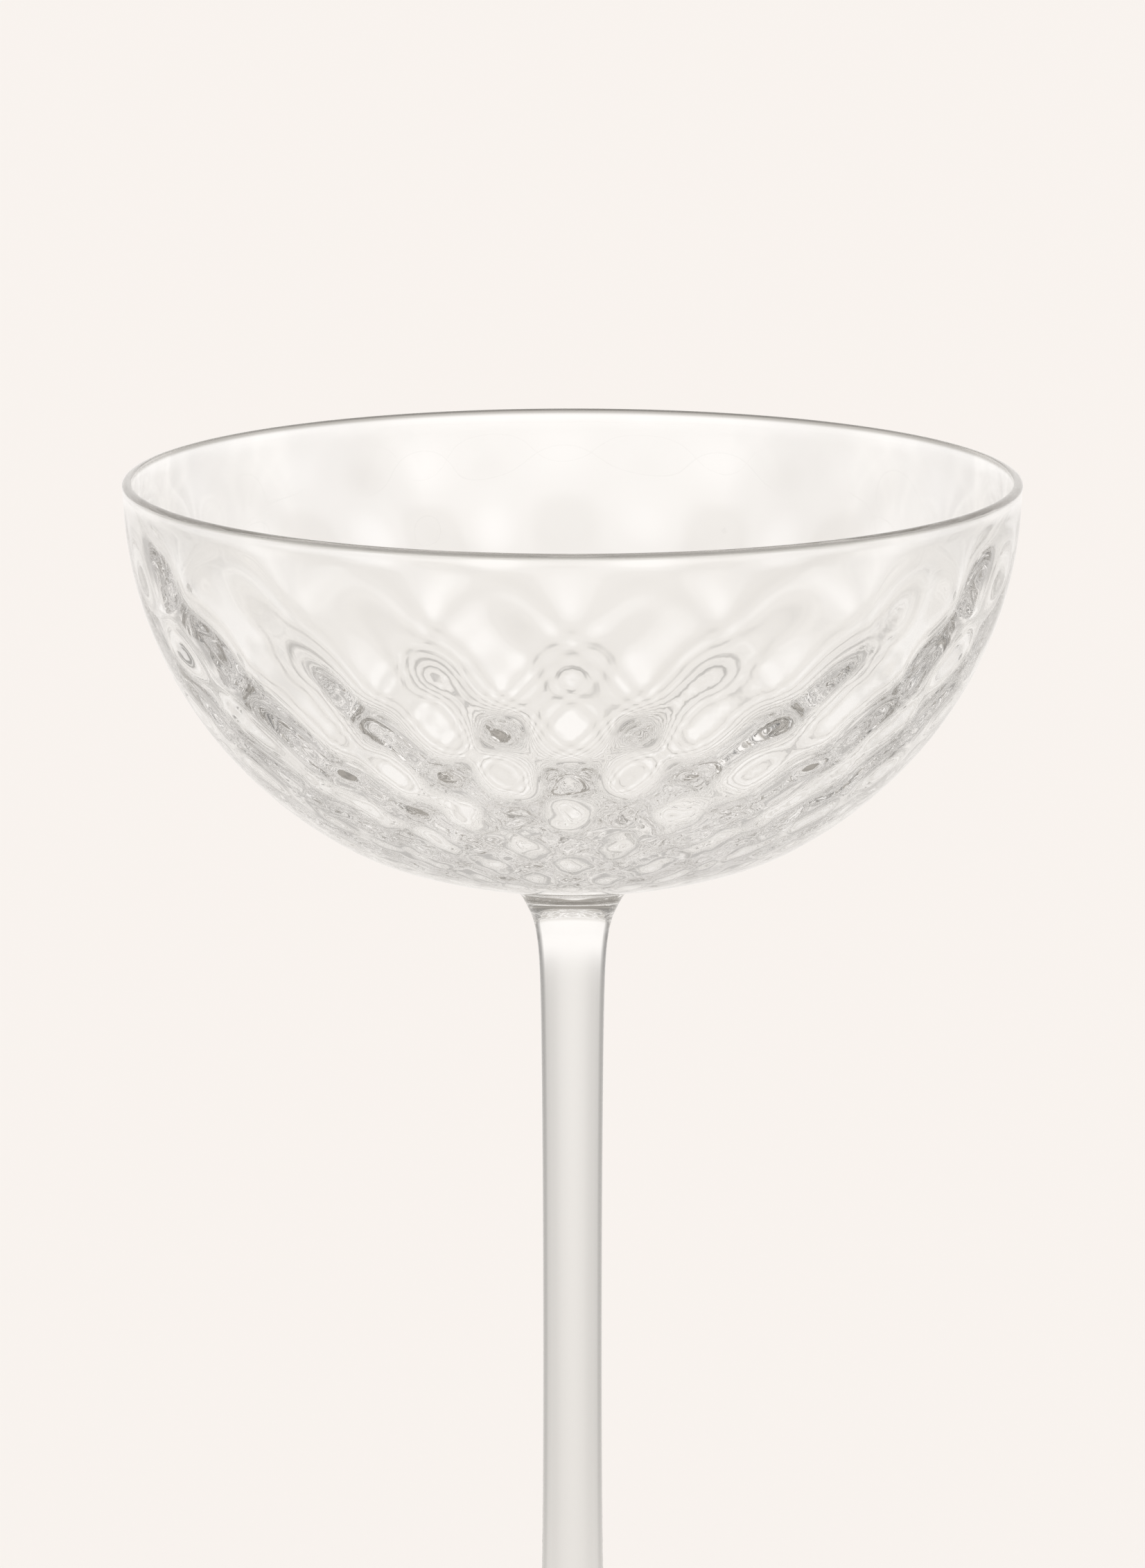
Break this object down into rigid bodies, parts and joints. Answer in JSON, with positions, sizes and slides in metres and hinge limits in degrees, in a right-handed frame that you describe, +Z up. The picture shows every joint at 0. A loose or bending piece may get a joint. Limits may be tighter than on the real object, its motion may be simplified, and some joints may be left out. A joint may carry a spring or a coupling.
{
  "type": "champagne coupe glass",
  "caption": "Champagne coupe of clear glass: a wide half-round bowl with a diamond optic inside its wall, a slim flared stem and a round disc foot.",
  "frame": {"origin": "on the glass's axis, in the plane that its foot stands on", "axes": "+Z up along the axis of bowl, stem and foot; -Y is the side that faces the viewer"},
  "size_m": [0.105, 0.105, 0.15],
  "materials": {
    "bowl_glass": "clear blown glass, fire-polished, with a soft diamond optic",
    "stem_glass": "clear drawn glass, smooth and bright",
    "foot_glass": "clear spun glass, fire-polished edge"
  },
  "bodies": {
    "root": {"bowl": "bowl_glass", "stem": "stem_glass", "foot": "foot_glass"}
  },
  "joints": []
}
